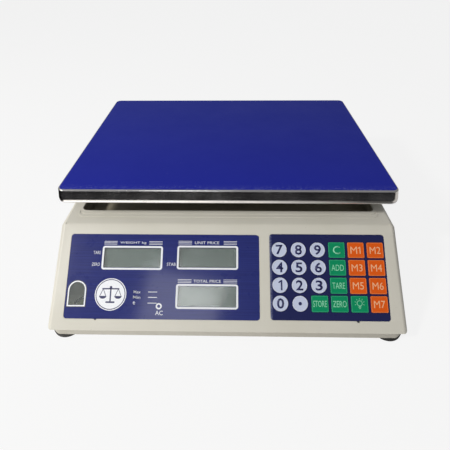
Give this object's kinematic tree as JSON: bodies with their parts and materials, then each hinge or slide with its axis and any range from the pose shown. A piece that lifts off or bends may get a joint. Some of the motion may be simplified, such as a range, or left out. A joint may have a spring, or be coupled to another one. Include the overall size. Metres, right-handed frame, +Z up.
{
  "type": "price computing scale",
  "caption": "Bench-top electronic price computing scale: a steel tray on a load cell above a sloping plastic housing with displays, keypad, level vial and levelling feet.",
  "frame": {"origin": "on the table under the middle of the whole scale's outline", "axes": "+X to the user's right, +Y to the back of the scale, +Z up"},
  "size_m": [0.35, 0.3332, 0.112],
  "materials": {
    "housing_plastic": "warm light grey, fine moulded grain",
    "base_plastic": "warm grey, fine moulded grain",
    "tray_steel": "bright polished stainless steel",
    "tray_film": "royal blue protective film, semi-gloss",
    "cast_aluminium": "as cast",
    "pad_rubber": "matt black",
    "cell_aluminium": "machined",
    "plated_steel": "zinc plated",
    "display_panel": "dark blue printed film, lightly brushed",
    "keypad_panel": "dark blue printed film, gloss",
    "clear_window": "clear film",
    "lcd_face": "grey-green display glass",
    "circuit_board": "green solder mask",
    "battery_case": "dark grey",
    "transformer_core": "varnished laminations",
    "vial_acrylic": "clear acrylic with tinted liquid",
    "foot_rubber": "matt black",
    "switch_black": "black, satin",
    "key_lavender": "embossed film, satin",
    "key_green": "embossed film, satin",
    "key_orange": "embossed film, satin"
  },
  "bodies": {
    "housing": {"upper_housing": "housing_plastic", "lower_housing": "base_plastic", "load_cell": "cell_aluminium", "cell_base_spacer": "plated_steel", "chassis_plate": "plated_steel", "cell_base_screws": "plated_steel", "chassis_screws": "plated_steel", "overload_stops": "plated_steel", "housing_screws": "plated_steel", "display_overlay": "display_panel", "display_windows": "clear_window", "front_lcds": "lcd_face", "front_display_board": "circuit_board", "keypad_overlay": "keypad_panel", "keypad_board": "circuit_board", "rear_overlay": "display_panel", "rear_windows": "clear_window", "rear_lcds": "lcd_face", "rear_display_board": "circuit_board", "main_board": "circuit_board", "battery": "battery_case", "battery_door": "base_plastic", "transformer": "transformer_core", "level_vial": "vial_acrylic", "switch_body": "switch_black", "power_inlet": "switch_black"},
    "platform": {"platform_bracket": "cast_aluminium", "platform_pads": "pad_rubber", "cell_top_screws": "plated_steel"},
    "tray": {"tray": "tray_steel", "tray_film": "tray_film"},
    "rocker": {"switch_rocker": "switch_black"},
    "foot_front_left": {"foot_front_left": "foot_rubber"},
    "foot_front_right": {"foot_front_right": "foot_rubber"},
    "foot_rear_left": {"foot_rear_left": "foot_rubber"},
    "foot_rear_right": {"foot_rear_right": "foot_rubber"},
    "key_7": {"key_7": "key_lavender"},
    "key_8": {"key_8": "key_lavender"},
    "key_9": {"key_9": "key_lavender"},
    "key_clear": {"key_clear": "key_green"},
    "key_m1": {"key_m1": "key_orange"},
    "key_m2": {"key_m2": "key_orange"},
    "key_4": {"key_4": "key_lavender"},
    "key_5": {"key_5": "key_lavender"},
    "key_6": {"key_6": "key_lavender"},
    "key_add": {"key_add": "key_green"},
    "key_m3": {"key_m3": "key_orange"},
    "key_m4": {"key_m4": "key_orange"},
    "key_1": {"key_1": "key_lavender"},
    "key_2": {"key_2": "key_lavender"},
    "key_3": {"key_3": "key_lavender"},
    "key_tare": {"key_tare": "key_green"},
    "key_m5": {"key_m5": "key_orange"},
    "key_m6": {"key_m6": "key_orange"},
    "key_0": {"key_0": "key_lavender"},
    "key_point": {"key_point": "key_lavender"},
    "key_store": {"key_store": "key_green"},
    "key_zero": {"key_zero": "key_green"},
    "key_light": {"key_light": "key_green"},
    "key_m7": {"key_m7": "key_orange"}
  },
  "joints": [
    {"name": "tray_lift", "type": "slide", "parent": "platform", "child": "tray", "axis": [0, 0, 1], "range_m": [0, 0.06]},
    {"name": "platform_load", "type": "slide", "parent": "housing", "child": "platform", "axis": [0, 0, 1], "range_m": [-0.0006, 0], "stiffness_N_per_m": 1000000, "deforming": ["load_cell"]},
    {"name": "switch_press", "type": "hinge", "parent": "housing", "child": "rocker", "pos_m": [0.17241, -0.028, 0.03897], "axis": [-0.0436, 0, 0.999], "range_deg": [0, 20]},
    {"name": "foot_front_left_screw", "type": "slide", "parent": "housing", "child": "foot_front_left", "axis": [0, 0, -1], "range_m": [0, 0.006]},
    {"name": "foot_front_right_screw", "type": "slide", "parent": "housing", "child": "foot_front_right", "axis": [0, 0, -1], "range_m": [0, 0.006]},
    {"name": "foot_rear_left_screw", "type": "slide", "parent": "housing", "child": "foot_rear_left", "axis": [0, 0, -1], "range_m": [0, 0.006]},
    {"name": "foot_rear_right_screw", "type": "slide", "parent": "housing", "child": "foot_rear_right", "axis": [0, 0, -1], "range_m": [0, 0.006]},
    {"name": "key_7_press", "type": "slide", "parent": "housing", "child": "key_7", "axis": [0, 0.5977, -0.8017], "range_m": [0, 0.0005], "stiffness_N_per_m": 2000},
    {"name": "key_8_press", "type": "slide", "parent": "housing", "child": "key_8", "axis": [0, 0.5977, -0.8017], "range_m": [0, 0.0005], "stiffness_N_per_m": 2000},
    {"name": "key_9_press", "type": "slide", "parent": "housing", "child": "key_9", "axis": [0, 0.5977, -0.8017], "range_m": [0, 0.0005], "stiffness_N_per_m": 2000},
    {"name": "key_clear_press", "type": "slide", "parent": "housing", "child": "key_clear", "axis": [0, 0.5977, -0.8017], "range_m": [0, 0.0005], "stiffness_N_per_m": 2000},
    {"name": "key_m1_press", "type": "slide", "parent": "housing", "child": "key_m1", "axis": [0, 0.5977, -0.8017], "range_m": [0, 0.0005], "stiffness_N_per_m": 2000},
    {"name": "key_m2_press", "type": "slide", "parent": "housing", "child": "key_m2", "axis": [0, 0.5977, -0.8017], "range_m": [0, 0.0005], "stiffness_N_per_m": 2000},
    {"name": "key_4_press", "type": "slide", "parent": "housing", "child": "key_4", "axis": [0, 0.5977, -0.8017], "range_m": [0, 0.0005], "stiffness_N_per_m": 2000},
    {"name": "key_5_press", "type": "slide", "parent": "housing", "child": "key_5", "axis": [0, 0.5977, -0.8017], "range_m": [0, 0.0005], "stiffness_N_per_m": 2000},
    {"name": "key_6_press", "type": "slide", "parent": "housing", "child": "key_6", "axis": [0, 0.5977, -0.8017], "range_m": [0, 0.0005], "stiffness_N_per_m": 2000},
    {"name": "key_add_press", "type": "slide", "parent": "housing", "child": "key_add", "axis": [0, 0.5977, -0.8017], "range_m": [0, 0.0005], "stiffness_N_per_m": 2000},
    {"name": "key_m3_press", "type": "slide", "parent": "housing", "child": "key_m3", "axis": [0, 0.5977, -0.8017], "range_m": [0, 0.0005], "stiffness_N_per_m": 2000},
    {"name": "key_m4_press", "type": "slide", "parent": "housing", "child": "key_m4", "axis": [0, 0.5977, -0.8017], "range_m": [0, 0.0005], "stiffness_N_per_m": 2000},
    {"name": "key_1_press", "type": "slide", "parent": "housing", "child": "key_1", "axis": [0, 0.5977, -0.8017], "range_m": [0, 0.0005], "stiffness_N_per_m": 2000},
    {"name": "key_2_press", "type": "slide", "parent": "housing", "child": "key_2", "axis": [0, 0.5977, -0.8017], "range_m": [0, 0.0005], "stiffness_N_per_m": 2000},
    {"name": "key_3_press", "type": "slide", "parent": "housing", "child": "key_3", "axis": [0, 0.5977, -0.8017], "range_m": [0, 0.0005], "stiffness_N_per_m": 2000},
    {"name": "key_tare_press", "type": "slide", "parent": "housing", "child": "key_tare", "axis": [0, 0.5977, -0.8017], "range_m": [0, 0.0005], "stiffness_N_per_m": 2000},
    {"name": "key_m5_press", "type": "slide", "parent": "housing", "child": "key_m5", "axis": [0, 0.5977, -0.8017], "range_m": [0, 0.0005], "stiffness_N_per_m": 2000},
    {"name": "key_m6_press", "type": "slide", "parent": "housing", "child": "key_m6", "axis": [0, 0.5977, -0.8017], "range_m": [0, 0.0005], "stiffness_N_per_m": 2000},
    {"name": "key_0_press", "type": "slide", "parent": "housing", "child": "key_0", "axis": [0, 0.5977, -0.8017], "range_m": [0, 0.0005], "stiffness_N_per_m": 2000},
    {"name": "key_point_press", "type": "slide", "parent": "housing", "child": "key_point", "axis": [0, 0.5977, -0.8017], "range_m": [0, 0.0005], "stiffness_N_per_m": 2000},
    {"name": "key_store_press", "type": "slide", "parent": "housing", "child": "key_store", "axis": [0, 0.5977, -0.8017], "range_m": [0, 0.0005], "stiffness_N_per_m": 2000},
    {"name": "key_zero_press", "type": "slide", "parent": "housing", "child": "key_zero", "axis": [0, 0.5977, -0.8017], "range_m": [0, 0.0005], "stiffness_N_per_m": 2000},
    {"name": "key_light_press", "type": "slide", "parent": "housing", "child": "key_light", "axis": [0, 0.5977, -0.8017], "range_m": [0, 0.0005], "stiffness_N_per_m": 2000},
    {"name": "key_m7_press", "type": "slide", "parent": "housing", "child": "key_m7", "axis": [0, 0.5977, -0.8017], "range_m": [0, 0.0005], "stiffness_N_per_m": 2000}
  ]
}
